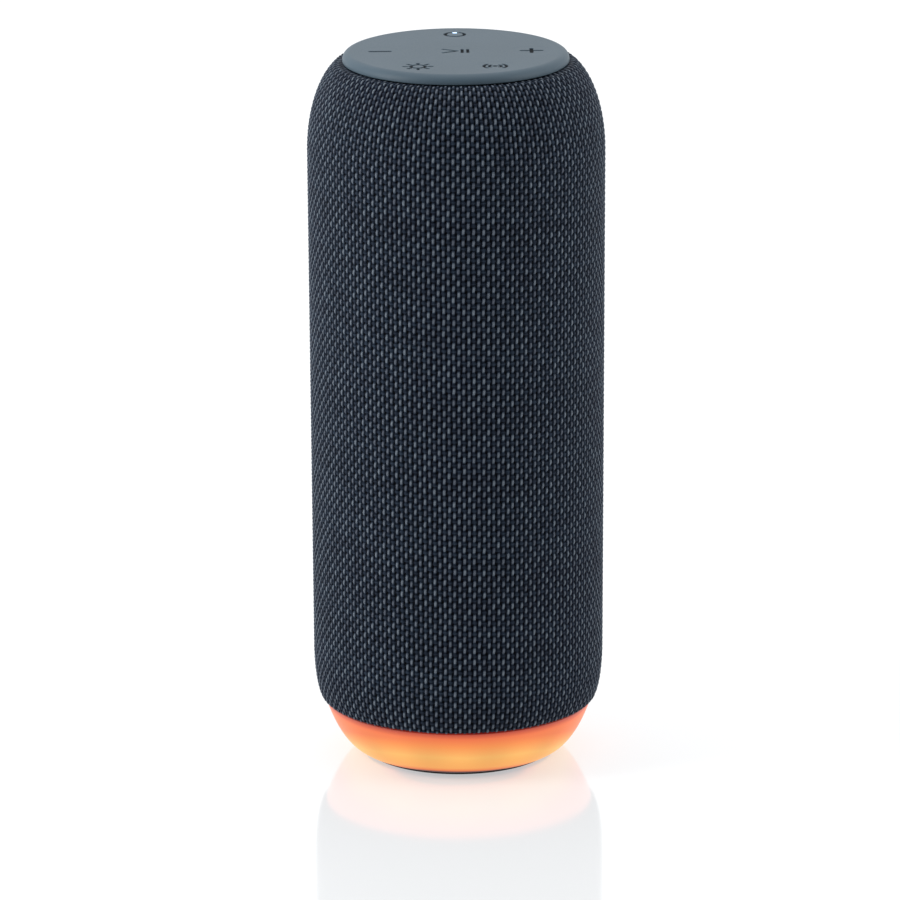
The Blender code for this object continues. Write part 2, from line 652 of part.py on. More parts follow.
# ---------------------------------------------------------------- rear ports
def make_ports():
    """The rear insert with its recess and finger notch, the door on its pivots and the two sockets behind."""
    low = (-PORT_HALF_W, PORT_BACK_Y, PORT_BOTTOM)
    high = (PORT_HALF_W, BODY_R + 2, PORT_TOP)
    bezel = add_object("port_bezel", box(low, high), material("bezel", (0.03, 0.033, 0.04), 0.5))
    combine(bezel, rod(PORT_FACE_R, PORT_BOTTOM - 5, PORT_TOP + 5, ROUND * 2), "INTERSECT")
    recess = box((-DOOR_HALF_W - GAP, RECESS_FLOOR_Y, DOOR_BOTTOM - 0.5),
                 (DOOR_HALF_W + GAP, BODY_R + 5, DOOR_TOP + 0.6))
    notch = box((-3, DOOR_AXIS_Y, 32.6), (3, BODY_R + 5, DOOR_BOTTOM))
    cut(bezel, recess, notch)
    pivot_turn = Matrix.Translation((0, DOOR_AXIS_Y, DOOR_AXIS_Z)) @ Matrix.Rotation(math.radians(90), 4, "Y")
    reach = DOOR_HALF_W + 1.0
    cut(bezel, moved(rod(PIVOT_R + GAP, -reach - GAP, reach + GAP, TINY), pivot_turn))

    outward = Matrix.Rotation(math.radians(-90), 4, "X")
    usb_z = PORT_BOARD_TOP + GAP + USB_SIZE[1] / 2
    aux_z = PORT_BOARD_TOP + GAP + AUX_NOSE_R
    usb_hole = stadium(USB_SIZE[0] + 2 * GAP, USB_SIZE[1] + 2 * GAP, 8)
    cut(bezel, moved(usb_hole, at(USB_X, PORT_BACK_Y - 2, usb_z) @ outward))
    cut(bezel, moved(rod(AUX_NOSE_R + GAP, 0, 8, SMALL), at(AUX_X, PORT_BACK_Y - 2, aux_z) @ outward))

    origin = (0, DOOR_AXIS_Y, DOOR_AXIS_Z)
    door = add_object("port_cover", box((-DOOR_HALF_W, DOOR_BACK_Y, DOOR_BOTTOM),
                                        (DOOR_HALF_W, DOOR_BACK_Y + DOOR_T, DOOR_TOP)),
                      material("port_cover", (0.04, 0.045, 0.055), 0.7), origin)
    join(door, moved(rod(PIVOT_R, -reach, reach, TINY), pivot_turn))

    board = add_object("port_board", box((-11.5, 23.4, PORT_BOARD_TOP - 1.2), (11.5, 31.6, PORT_BOARD_TOP)),
                       material("port_board", (0.02, 0.13, 0.06), 0.4))
    cut(board, moved(rod(1.0, PORT_BOARD_TOP - 3, PORT_BOARD_TOP + 1, TINY), at(0, 30)))
    steel = material("usb_socket", (0.65, 0.65, 0.67), 0.3, 1.0)
    usb_back = 27.0
    usb = add_object("usb_socket", moved(stadium(*USB_SIZE, SOCKET_FACE_Y - usb_back),
                                         at(USB_X, usb_back, usb_z) @ outward), steel)
    mouth = tool("usb_mouth", moved(stadium(USB_SIZE[0] - 0.7, USB_SIZE[1] - 0.7, 8),
                                    at(USB_X, usb_back + 1.2, usb_z) @ outward))
    cut(mouth, box((USB_X - 3.3, usb_back, usb_z - 0.35), (USB_X + 3.3, SOCKET_FACE_Y - 1, usb_z + 0.35)))
    cut(usb, mouth)
    aux_body = box((AUX_X - 3, 24, aux_z - AUX_NOSE_R), (AUX_X + 3, 31.6, aux_z + AUX_NOSE_R))
    aux = add_object("aux_socket", aux_body, material("aux_socket", (0.03, 0.03, 0.03), 0.4))
    join(aux, moved(rod(AUX_NOSE_R - 0.1, 0, SOCKET_FACE_Y - 31, SMALL), at(AUX_X, 31, aux_z) @ outward))
    cut(aux, moved(rod(1.75, 0, 12, SMALL), at(AUX_X, 25, aux_z) @ outward))


# ---------------------------------------------------------------- light and base
def make_light():
    """The ring of LEDs that shines down into the bowl, the white wall inside it and the base under both."""
    board = [(REFLECTOR_R + GAP, LED_BOARD_BOTTOM), (33.2, LED_BOARD_BOTTOM),
             (33.2, LED_BOARD_TOP), (REFLECTOR_R + GAP, LED_BOARD_TOP)]
    leds = add_object("led_board", turned(board), material("led_board", (0.8, 0.8, 0.78), 0.4))
    half = LED_SIZE / 2
    for index in range(LED_COUNT):
        spin = Matrix.Rotation(2 * math.pi * (index + 0.5) / LED_COUNT, 4, "Z")
        led = box((LED_RING_R - half, -half, LED_BOARD_BOTTOM - LED_H),
                  (LED_RING_R + half, half, LED_BOARD_BOTTOM + 0.7))
        join(leds, moved(led, spin))

    inner_r = REFLECTOR_R - 3.4
    wall = [(22.7, BASE_TOP + GAP), (22.7, 5.6), (REFLECTOR_R, 7.5), (REFLECTOR_R, CABINET_BOTTOM - GAP),
            (inner_r, CABINET_BOTTOM - GAP), (inner_r, BASE_TOP + GAP)]
    reflector = add_object("light_reflector", turned(wall), material("reflector", (0.85, 0.85, 0.83), 0.5))
    plate = add_object("base_plate", rod(FOOT_R, BASE_BOTTOM, BASE_TOP, ROUND),
                       material("base_plate", (0.03, 0.03, 0.033), 0.6))
    sink_r = SCREW_HEAD_R + GAP
    sink_top = BASE_BOTTOM + 1.1
    sunk_hole = [(0, 0), (sink_r, 0), (sink_r, sink_top), (SCREW_HOLE_R, sink_top),
                 (SCREW_HOLE_R, BASE_TOP + 2), (0, BASE_TOP + 2)]
    for index in range(3):
        angle = math.radians(90 + 120 * index)
        x, y = BASE_SCREW_R * math.cos(angle), BASE_SCREW_R * math.sin(angle)
        cut(reflector, moved(rod(SCREW_HOLE_R, BASE_TOP - 1, 13, TINY), at(x, y)))
        cut(plate, moved(turned(sunk_hole, TINY), at(x, y)))
        screw(f"base_screw_{index + 1}", x, y, BASE_BOTTOM, sink_top - GAP, 12, bpy.data.materials["steel"])


def make_bowl():
    """The translucent shell with its inner flange, and the rubber ring the speaker stands on."""
    outside = bowl_outline(6)
    flange_r = 23.0
    flange_top = BASE_TOP + BOWL_WALL
    inside = [point for point in bowl_outline(6, BOWL_WALL) if point[1] > flange_top + 0.4]
    groove_r = FOOT_R + GAP
    flange = [(groove_r, outside[-1][1]), (groove_r, BASE_TOP + GAP), (flange_r, BASE_TOP + GAP),
              (flange_r, flange_top), (28.4, flange_top)]
    profile = outside + flange + list(reversed(inside))
    add_object("light_bowl", turned(profile), material("bowl", (1.0, 0.42, 0.17), 0.4, glow=0.6))
    foot = [(FOOT_INNER_R, 0), (FOOT_R, 0), (FOOT_R, FOOT_TOP), (FOOT_INNER_R, FOOT_TOP)]
    add_object("foot_ring", turned(foot), material("foot", (0.02, 0.018, 0.018), 0.9))


clear_scene()
make_fabric()
make_grille()
make_cap()
make_pad()
make_keys()
make_key_board()
make_cabinet()
make_lid()
make_drivers()
make_radiators()
make_battery()
make_main_board()
make_cables()
make_ports()
make_light()
make_bowl()
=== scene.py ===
"""The finished look of the party speaker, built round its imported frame. Units here are millimetres."""
import json
import math

import bmesh
import bpy
import numpy as np
from mathutils import Matrix, Vector


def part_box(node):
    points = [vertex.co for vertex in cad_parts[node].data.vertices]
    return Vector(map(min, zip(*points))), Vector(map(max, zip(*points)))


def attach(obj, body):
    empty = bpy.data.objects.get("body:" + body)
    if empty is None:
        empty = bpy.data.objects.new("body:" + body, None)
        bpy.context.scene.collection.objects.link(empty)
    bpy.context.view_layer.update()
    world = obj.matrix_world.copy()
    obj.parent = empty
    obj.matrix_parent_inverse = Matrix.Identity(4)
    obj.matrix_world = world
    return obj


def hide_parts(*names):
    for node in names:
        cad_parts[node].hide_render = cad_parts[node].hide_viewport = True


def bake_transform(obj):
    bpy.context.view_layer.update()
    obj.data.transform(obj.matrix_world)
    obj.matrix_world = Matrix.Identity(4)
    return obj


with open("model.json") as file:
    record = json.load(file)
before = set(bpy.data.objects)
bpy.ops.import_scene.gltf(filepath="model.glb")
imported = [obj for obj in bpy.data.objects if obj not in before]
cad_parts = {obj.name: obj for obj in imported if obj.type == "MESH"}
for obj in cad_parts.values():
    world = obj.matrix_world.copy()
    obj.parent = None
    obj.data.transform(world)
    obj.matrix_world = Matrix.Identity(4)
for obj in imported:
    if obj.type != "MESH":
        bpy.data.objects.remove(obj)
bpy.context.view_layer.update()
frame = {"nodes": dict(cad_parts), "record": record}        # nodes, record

MM = 0.001
GAP = 0.3                     # clearance round the port's window and the foot
SLOTS = {row["node"]: row["material_slot"] for row in frame["record"]["subparts"]}


def edges(node):
    """A CAD node's lowest and highest corner in this file's units."""
    low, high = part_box(node)
    return low / MM, high / MM


# ---------------------------------------------------------------- sizes read from the frame
SLEEVE_LOW, SLEEVE_HIGH = edges("fabric_sleeve")
PAD_LOW, PAD_HIGH = edges("top_pad")
WINDOW_LOW, WINDOW_HIGH = edges("port_bezel")
PIPE_LOW, PIPE_HIGH = edges("power_light_pipe")
BOWL_H = edges("light_bowl")[1].z
FOOT_R = edges("foot_ring")[1].x
FOOT_TOP = edges("foot_ring")[1].z
BODY_R = SLEEVE_HIGH.x
PAD_R = PAD_HIGH.x
PAD_TOP = PAD_HIGH.z
KEY_NAMES = ("power_key", "minus_key", "play_key", "plus_key", "light_key", "pairing_key")

# ---------------------------------------------------------------- the sleeve's shape
WAIST_R = 39.45               # the fabric's outer radius above the lower curve
LOWER_CURVE_TOP = 30.0
LOWER_CURVE_DROP = 2.9
LOWER_CURVE_H = 15.0
SHOULDER_START = 168.0
SHOULDER_DROP = 12.26
SHOULDER_H = 25.56
SECTION_STEPS = 1500
LOW_HEM_EDGE = (0.45, 0.4)    # width and height of the rounding where the fabric turns under
TOP_HEM_EDGE = (0.8, 0.35)
HEM_FOLD = 1.1                # how far the fabric is tucked in at its hems and round the port
HEM_SETTLE = 2.5              # how far from a hem the relief is full
HEM_RELIEF = 0.25             # the share of the relief left at the hem itself
RIM_OUTSIDE = 0.22            # fabric this close to the port's window is drawn to its edge
RIM_INSIDE = 0.55
RIM_FOLD_START = 0.12

# ---------------------------------------------------------------- the weave
COLUMNS = 188                 # warp yarns round the body
ROW_PITCH = 1.56              # weft spacing along the surface
ROWS_PER_TURN = 10            # how many rows the weft climbs in one turn
SAMPLES_ACROSS = 6            # mesh steps per column
SAMPLES_UP = 4                # mesh steps per row
WARP_WAVE = 0.22              # half the warp's rise and fall
WARP_HALF_WIDTH = 0.35        # in columns
WARP_ROUNDING = 0.30          # how far a yarn's flank lies below its crown
WEFT_WAVE = 0.14
WEFT_HALF_WIDTH = 0.30        # in rows
WEFT_ROUNDING = 0.24
WEFT_SINK = 0.08              # the weft lies this much deeper
PIT_DEPTH = 0.42
FLOAT_LEAN = 0.09             # how far a warp float leans over its own length, in columns
YARN_WANDER = 0.05            # how far a yarn strays sideways, in columns or rows
PHASE_SPREAD = 9.0
PLY_PAINTED_SHADE = 0.25             # painted shade: how much darker the colour is along the groove between the two ply strands of a yarn
PLY_PAINTED_SHADE_WIDTH = 0.3        # width of that painted shade, as a share of the yarn's half width

# ---------------------------------------------------------------- pad, keys and light
PAD_EDGE_W = 2.2
PAD_EDGE_H = 2.0
PAD_SHADING_RING = 0.4        # a ring just inside the rounded edge keeps the flat top flat
PAD_SKIRT_EDGE = 0.25
PAD_SEAT_R = 28.9
PAD_SEAT_H = 0.2
MEMBRANE_R = 6.0
MEMBRANE_T = 0.45
MEMBRANE_DIP = 0.02           # the skin's dish at rest
DIP_START = 5.9
DIP_END = 4.6
ICON_R = 4.4
GROOVE_DEPTH = 0.32
GROOVE_WALL = 0.16
SKIN_GAP = 0.05
PLUNGER_R = 5.7
PLUNGER_EDGE = 0.3
PLUNGER_T = 1.4
STEM_R = 1.2
STEM_FILLET = 0.5
STEM_EDGE = 0.2
PIPE_R = 0.7
PIPE_EDGE = 0.2
PIPE_WELL_R = 0.85

# ---------------------------------------------------------------- bowl and foot
BOWL_CURVE = ((36.4, 15.0), (34.1, 8.0), (30.5, 1.5), (26.0, 0.8))      # Bezier points, rim to foot
BOWL_CURVE_STEPS = 36
BOWL_RIM_EDGE = 0.3
BOWL_SEAT = (23.0, 4.3)       # inner radius and underside of the flange the foot sits under
BOWL_INSIDE = ((23.0, 6.0), (28.4, 6.0), (31.0, 7.8), (32.6, 10.2), (33.8, 13.0), (34.4, 15.0))
LED_COUNT = 12
FOOT_INNER_R = 14.0
FOOT_EDGE = 0.3

# ---------------------------------------------------------------- colours
# Yarn colour by its painted light: near black in the pits and darker on the flanks and weft as painted
# shade, pale on the crowns as a painted highlight.
YARN_PAINTED_LIGHT_COLOURS = ((0.0, (0.0004, 0.0008, 0.0022)), (0.15, (0.003, 0.006, 0.013)),
               (0.45, (0.020, 0.030, 0.047)), (1.0, (0.170, 0.196, 0.228)))
YARN_TINTS = ((0.0, (0.72, 0.70, 0.74)), (1.0, (1.28, 1.28, 1.26)))
PAD_FACE = ((0.3, (0.055, 0.086, 0.112)), (0.7, (0.060, 0.093, 0.121)))
# near-black colour in the icons' grooves: painted shade in the recess
PAD_GROOVE_SHADE = (0.002, 0.004, 0.007)
# Shell's base colour, near black at its foot as painted shade.
BOWL_TINT_AND_FOOT_SHADE = ((0.1, (0.02, 0.004, 0.003)), (0.2, (0.15, 0.045, 0.022)))
BOWL_GLOW_AND_END_SHADE = ((0.105, (0.06, 0.004, 0.003)), (0.14, (0.76, 0.16, 0.03)), (0.22, (0.84, 0.37, 0.08)),
             (0.48, (0.86, 0.46, 0.115)), (0.72, (0.86, 0.27, 0.06)), (0.88, (0.80, 0.15, 0.045)),
             (0.97, (0.45, 0.04, 0.02)), (1.0, (0.15, 0.006, 0.005)))   # by share of its height; near black at the foot and under the fabric's hem as painted shade
LED_SPOTS = ((0.1, (0, 0, 0)), (0.45, (1, 1, 1)), (0.95, (0, 0, 0)))
LED_SWELL = 0.07
BOWL_BRIGHTNESS = 0.93
PAINTED_SIDE_REDDENING = 0.34         # painted side shade: how far the rim's red comes down at the two sides facing ±x, as a share of height
# the reddest level the painted side shade reaches
PAINTED_SIDE_REDDEST_LEVEL = 0.84
PIPE_SHADES = ((0.3, (0.5, 0.7, 0.95)), (0.7, (0.6, 0.8, 1.0)))
PIPE_GLOW = ((0.3, (0.30, 0.56, 1.0)), (0.7, (0.42, 0.66, 1.0)))
FLOOR_SHADES = ((0.3, (0.345, 0.35, 0.35)), (0.7, (0.355, 0.36, 0.36)))

# ---------------------------------------------------------------- light and camera
ROOM_FRONT = 0.10             # the room's light from the side the speaker faces
ROOM_BACK = 1.1
ROOM_CEILING = 0.7
LAMPS = (("left_box", 2.7, (-520, -180, 330)), ("right_box", 1.2, (520, -160, 330)))   # watts, place
LAMP_AIM = (0, 0, 100)
LAMP_SIZE = (180, 500)
FLOOR_REACH = 6000
FLOOR_GLOW = 0.49             # a lit opal sheet, so the table is white right up to the speaker
FLOOR_GLOW_COLOUR = (0.965, 0.98, 1.0, 1.0)
CAMERA_PLACE = (-2.03, -1773.6, 587.6)
CAMERA_TURN = -0.6            # degrees round the speaker
CAMERA_TILT = 74.152
CAMERA_ROLL = -0.26
CAMERA_LENS = 272.15
CAMERA_SENSOR = 36.0


# ---------------------------------------------------------------- material helpers
class Shader:
    """A Principled material whose nodes are added one by one."""

    def __init__(self, name, roughness=0.5, metallic=0.0, specular=0.5):
        self.material = bpy.data.materials.new(name)
        self.material.use_nodes = True
        self.nodes = self.material.node_tree.nodes
        self.links = self.material.node_tree.links
        self.bsdf = self.nodes["Principled BSDF"]
        self.set("Roughness", roughness)
        self.set("Metallic", metallic)
        self.set("Specular IOR Level", specular)

    def set(self, socket, value):
        """A value that is the same all over the surface."""
        self.bsdf.inputs[socket].default_value = value

    def link(self, socket, output):
        """A value that changes over the surface."""
        self.links.new(output, self.bsdf.inputs[socket])

    def feed(self, socket, value):
        """A node's input, from another node or as a plain value."""
        if isinstance(value, bpy.types.NodeSocket):
            self.links.new(value, socket)
        else:
            socket.default_value = value

    def add(self, kind, settings=None, **inputs):
        node = self.nodes.new(kind)
        for key, value in (settings or {}).items():
            setattr(node, key, value)
        for key, value in inputs.items():
            self.feed(node.inputs[key.replace("_", " ")], value)
        return node

    def math(self, operation, first, second=0.0):
        node = self.nodes.new("ShaderNodeMath")
        node.operation = operation
        self.feed(node.inputs[0], first)
        self.feed(node.inputs[1], second)
        return node.outputs[0]

    def ramp(self, factor, stops):
        """Colours by a factor; each stop is a place and a colour."""
        node = self.nodes.new("ShaderNodeValToRGB")
        elements = node.color_ramp.elements
        while len(elements) < len(stops):
            elements.new(1.0)
        for element, (place, colour) in zip(elements, stops):
            element.position = place
            element.color = (*colour, 1.0)
        self.feed(node.inputs["Fac"], factor)
        return node.outputs["Color"]

    def blend(self, kind, factor, first, second):
        """Two colours mixed or multiplied."""
        node = self.add("ShaderNodeMix", {"data_type": "RGBA", "blend_type": kind})
        self.feed(node.inputs["Factor"], factor)
        self.feed(node.inputs["A"], first)
        self.feed(node.inputs["B"], second)
        return node.outputs["Result"]

    def spread(self, factor, low, high):
        """A factor from 0 to 1 turned into a value from low to high."""
        return self.add("ShaderNodeMapRange", Value=factor, To_Min=low, To_Max=high).outputs["Result"]

    def position(self):
        return self.add("ShaderNodeTexCoord").outputs["Object"]

    def noise(self, scale, detail=4.0, stretch=(1, 1, 1), where=None):
        place = self.add("ShaderNodeMapping", Scale=stretch, Vector=where or self.position())
        vector = place.outputs["Vector"]
        return self.add("ShaderNodeTexNoise", Vector=vector, Scale=scale, Detail=detail).outputs["Fac"]

    def attribute(self, name):
        return self.add("ShaderNodeAttribute", {"attribute_name": name}).outputs["Fac"]

    def bump(self, height, strength, distance):
        node = self.add("ShaderNodeBump", Strength=strength, Distance=distance * MM, Height=height)
        self.link("Normal", node.outputs["Normal"])


def scaled(colour, factor):
    return tuple(channel * factor for channel in colour)


def moulded(name, colour, roughness=0.5, grain=2600.0, relief=0.04, contrast=0.12):
    """Moulded plastic or rubber: a fine even grain, slight cloudiness and uneven polish."""
    look = Shader(name, roughness)
    shades = ((0.3, scaled(colour, 1 - contrast)), (0.7, scaled(colour, 1 + contrast)))
    look.link("Base Color", look.ramp(look.noise(90.0, 3.0), shades))
    fine = look.noise(grain, 2.0)
    look.link("Roughness", look.spread(fine, roughness - 0.06, roughness + 0.08))
    look.bump(fine, 0.5, relief)
    return look


def brushed(name, colour, roughness):
    """Plated metal with fine streaks round it."""
    look = Shader(name, roughness, metallic=1.0)
    streak = look.noise(900.0, 3.0, (1, 1, 14))
    shades = ((0.25, scaled(colour, 0.82)), (0.75, scaled(colour, 1.08)))
    look.link("Base Color", look.ramp(streak, shades))
    look.link("Roughness", look.spread(streak, roughness - 0.08, roughness + 0.12))
    look.bump(streak, 0.3, 0.02)
    return look


def circuit(name, colour):
    """Solder mask over copper tracks."""
    look = Shader(name, 0.35)
    cells = look.add("ShaderNodeTexVoronoi", {"distance": "CHEBYCHEV"}, Vector=look.position(), Scale=420.0)
    tracks = cells.outputs["Distance"]
    look.link("Base Color", look.ramp(tracks, ((0.34, colour), (0.38, scaled(colour, 1.7)))))
    look.link("Roughness", look.spread(look.noise(1500.0, 2.0), 0.28, 0.42))
    look.bump(tracks, 0.3, 0.03)
    return look


def woven_look():
    """Navy-charcoal yarn with a painted highlight on the crowns and painted shade, near black, in the pits,
    with fibres along each float.
    """
    look = Shader("woven_yarn", 0.45, specular=0.05)
    shade = look.ramp(look.attribute("painted_light"), YARN_PAINTED_LIGHT_COLOURS)
    tint = look.ramp(look.attribute("tint"), YARN_TINTS)
    look.link("Base Color", look.blend("MULTIPLY", 1.0, shade, tint))
    cloth = look.add("ShaderNodeUVMap", {"uv_map": "OFBake"}).outputs["UV"]
    fibres = look.noise(1.0, 3.0, (COLUMNS * 9.0, COLUMNS * 1.4, 1), cloth)
    look.link("Roughness", look.spread(fibres, 0.38, 0.62))
    look.bump(fibres, 0.35, 0.05)
    return look


def pad_look():
    """Matt silicone, duller in the icons' grooves, where its colour is darkened as painted shade in the
    recess.
    """
    look = Shader("pad_silicone", 0.5, specular=0.25)
    groove_painted_shade = look.attribute("groove_painted_shade")
    face = look.ramp(look.noise(60.0, 3.0), PAD_FACE)
    look.link("Base Color", look.blend("MIX", groove_painted_shade, face, (*PAD_GROOVE_SHADE, 1.0)))
    fine = look.noise(2400.0, 2.0)
    dull = look.math("MULTIPLY", groove_painted_shade, 0.45)
    look.link("Roughness", look.math("ADD", look.spread(fine, 0.44, 0.55), dull))
    look.bump(fine, 0.3, 0.012)
    return look


def bowl_look():
    """Translucent shell lit from inside: redder by the rim, a soft spot at each LED, painted shade at its
    foot and under the fabric's hem, and redder, dimmer sides facing ±x painted to stand in for the shell
    seen edge-on.
    """
    look = Shader("lit_bowl", 0.35, specular=0.3)
    place = look.add("ShaderNodeSeparateXYZ", Vector=look.position())
    height = look.math("DIVIDE", place.outputs["Z"], BOWL_H * MM)
    turn = look.math("ARCTAN2", place.outputs["Y"], place.outputs["X"])
    drift = look.math("MULTIPLY", look.math("SUBTRACT", look.noise(45.0, 2.0), 0.5), 0.06)
    level = look.math("ADD", height, drift)
    # Painted side shade: towards ±x the level is pushed into the rim's red, so the sides seen edge-on look
    # redder and dimmer.
    side = look.math("POWER", look.math("COSINE", turn), 4.0)
    lowered = look.math("ADD", level, look.math("MULTIPLY", side, PAINTED_SIDE_REDDENING))
    level = look.math("MAXIMUM", level, look.math("MINIMUM", lowered, PAINTED_SIDE_REDDEST_LEVEL))
    look.link("Emission Color", look.ramp(level, BOWL_GLOW_AND_END_SHADE))
    look.link("Base Color", look.ramp(level, BOWL_TINT_AND_FOOT_SHADE))

    lobe = look.math("COSINE", look.math("MULTIPLY", turn, LED_COUNT))
    swell = look.math("MULTIPLY", look.math("MULTIPLY", lobe, look.ramp(height, LED_SPOTS)), LED_SWELL)
    look.link("Emission Strength", look.math("ADD", swell, BOWL_BRIGHTNESS))
    fine = look.noise(1800.0, 2.0)
    look.link("Roughness", look.spread(fine, 0.3, 0.42))
    look.bump(fine, 0.2, 0.01)
    return look


def light_pipe_look():
    """A clear blue-white rod, lit from below."""
    look = Shader("light_pipe", 0.15)
    cloud = look.noise(900.0, 2.0)
    look.link("Base Color", look.ramp(cloud, PIPE_SHADES))
    look.link("Emission Color", look.ramp(cloud, PIPE_GLOW))
    look.set("Emission Strength", 1.5)
    look.bump(cloud, 0.1, 0.01)
    return look


def make_looks():
    """One look for each material slot in the record."""
    return {
        "fabric": woven_look(),
        "pad_silicone": pad_look(),
        "lit_bowl": bowl_look(),
        "light_pipe": light_pipe_look(),
        "grille": moulded("grille_black", (0.014, 0.014, 0.016), 0.5),
        "black_plastic": moulded("black_plastic", (0.022, 0.024, 0.028), 0.48),
        "white_plastic": moulded("white_plastic", (0.78, 0.78, 0.75), 0.45),
        "white_board": circuit("white_board", (0.5, 0.5, 0.48)),
        "green_board": circuit("green_board", (0.015, 0.1, 0.045)),
        "cell_wrap": moulded("cell_wrap", (0.02, 0.11, 0.38), 0.28, grain=500.0, relief=0.02),
        "black_cable": moulded("black_cable", (0.015, 0.015, 0.016), 0.5),
        "red_lead": moulded("red_lead", (0.38, 0.016, 0.014), 0.45),
        "black_rubber": moulded("black_rubber", (0.016, 0.013, 0.013), 0.75),
        "cover_rubber": moulded("cover_rubber", (0.026, 0.031, 0.039), 0.6),
        "surround_rubber": moulded("surround_rubber", (0.012, 0.012, 0.013), 0.6),
        "cone_paper": moulded("cone_paper", (0.03, 0.03, 0.033), 0.75, grain=1400.0, relief=0.08,
                              contrast=0.25),
        "basket_metal": moulded("basket_paint", (0.03, 0.03, 0.033), 0.35, grain=1200.0),
        "magnet_metal": brushed("magnet_plate", (0.42, 0.42, 0.45), 0.32),
        "shield_metal": brushed("tinned_shield", (0.66, 0.66, 0.68), 0.3),
        "socket_metal": brushed("nickel_socket", (0.6, 0.6, 0.62), 0.26),
        "screw_steel": brushed("zinc_screw", (0.55, 0.55, 0.58), 0.3),
    }


# ---------------------------------------------------------------- mesh helpers
def finish_mesh(name, mesh, look, sharp=35):
    """Make the object from its mesh, smooth but for edges sharper than this many degrees, 0 for none."""
    mesh.shade_smooth()
    if sharp:
        mesh.set_sharp_from_angle(angle=math.radians(sharp))
    mesh.materials.append(look.material)
    made = bpy.data.objects.new(name, mesh)
    bpy.context.scene.collection.objects.link(made)
    return made


def from_form(name, form, look, sharp=35):
    """Make the object from a finished bmesh."""
    bmesh.ops.recalc_face_normals(form, faces=form.faces)
    mesh = bpy.data.meshes.new(name)
    form.to_mesh(mesh)
    form.free()
    return finish_mesh(name, mesh, look, sharp)


def join_rings(form, low, high):
    """A band of four-sided faces between two rings of the same count."""
    for step in range(len(low)):
        after = (step + 1) % len(low)
        form.faces.new((low[step], low[after], high[after], high[step]))


def turned(name, profile, look, segments=160, centre=(0, 0)):
    """Spin (radius, height) points about an upright axis; ends on the axis close as flat faces."""
    form = bmesh.new()
    rings = []
    for radius, height in profile:
        if radius == 0:
            continue
        ring = []
        for step in range(segments):
            angle = 2 * math.pi * step / segments
            x = centre[0] + radius * math.cos(angle)
            y = centre[1] + radius * math.sin(angle)
            ring.append(form.verts.new((x * MM, y * MM, height * MM)))
        rings.append(ring)
    for low, high in zip(rings, rings[1:]):
        join_rings(form, low, high)
    if profile[0][0] and profile[-1][0]:
        join_rings(form, rings[-1], rings[0])
    else:
        form.faces.new(rings[0])
        form.faces.new(rings[-1])
    return from_form(name, form, look)


def arc(centre, radii, start, stop, steps):
    """Points along part of an ellipse, angles in degrees."""
    points = []
    for step in range(steps + 1):
        angle = math.radians(start + (stop - start) * step / steps)
        points.append((centre[0] + radii[0] * math.cos(angle), centre[1] + radii[1] * math.sin(angle)))
    return points


def bezier(points, t):
    a, b, c, d = (Vector(point) for point in points)
    return a * (1 - t) ** 3 + 3 * b * t * (1 - t) ** 2 + 3 * c * t ** 2 * (1 - t) + d * t ** 3


def ease(share):
    """0 to 1 with a soft start and end."""
    share = np.clip(share, 0, 1)
    return share * share * (3 - 2 * share)


def round_fall(share, drop):
    """How far a rounded edge has fallen, from 0 where it starts to the whole drop at its end."""
    return drop * (1 - np.sqrt(1 - share ** 2))


def set_attribute(mesh, name, values):
    attribute = mesh.attributes.new(name, "FLOAT", "POINT")
    attribute.data.foreach_set("value", np.asarray(values, np.float32).ravel())


def settle(piece, body, node):
    """Parent the piece to its body's empty and hide the CAD node it replaces."""
    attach(piece, body)
    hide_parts(node)


# ---------------------------------------------------------------- fabric sleeve
def body_radius(z):
    """Radius of the fabric's outer face at height z: a lower curve, a slight taper and a shoulder."""
    lower = np.clip((LOWER_CURVE_TOP - z) / LOWER_CURVE_H, 0, 1)
    upper = np.clip((z - SHOULDER_START) / SHOULDER_H, 0, 1)
    taper = np.clip((z - LOWER_CURVE_TOP) / (SHOULDER_START - LOWER_CURVE_TOP), 0, 1)
    straight = WAIST_R + (BODY_R - WAIST_R) * taper
    return straight - round_fall(lower, LOWER_CURVE_DROP) - round_fall(upper, SHOULDER_DROP)


def sleeve_line():
    """The sleeve's section from hem to hem in equal steps: points, outward normals, rows and length."""
    low, high = SLEEVE_LOW.z, SLEEVE_HIGH.z
    z = np.linspace(low + LOW_HEM_EDGE[1], high - TOP_HEM_EDGE[1], SECTION_STEPS)
    r = body_radius(z)
    tuck_low = np.array([(r[0] - HEM_FOLD - 0.4, low + 0.02)])
    bottom = np.array(arc((r[0] - LOW_HEM_EDGE[0], z[0]), LOW_HEM_EDGE, -90, 0, 8)[:-1])
    top = np.array(arc((r[-1] - TOP_HEM_EDGE[0], z[-1]), TOP_HEM_EDGE, 0, 90, 8)[1:])
    tuck_high = np.array([(PAD_R - 0.6, high - 0.02)])
    line = np.vstack([tuck_low, bottom, np.column_stack([r, z]), top, tuck_high])
    length = np.concatenate([[0], np.cumsum(np.hypot(*np.diff(line, axis=0).T))])
    steps = round(length[-1] / ROW_PITCH) * SAMPLES_UP
    along = np.linspace(0, length[-1], steps + 1)
    points = np.column_stack([np.interp(along, length, line[:, 0]), np.interp(along, length, line[:, 1])])
    tangent = np.gradient(points, axis=0)
    tangent /= np.linalg.norm(tangent, axis=1)[:, None]
    normal = np.column_stack([tangent[:, 1], -tangent[:, 0]])
    return points, normal, along / ROW_PITCH, length[-1]


def stray(along, yarn, pace, scatter):
    """How far a yarn strays sideways at a place along it; scatter gives each yarn its own phase."""
    return YARN_WANDER * np.sin(along * pace + PHASE_SPREAD * np.sin(yarn * scatter))


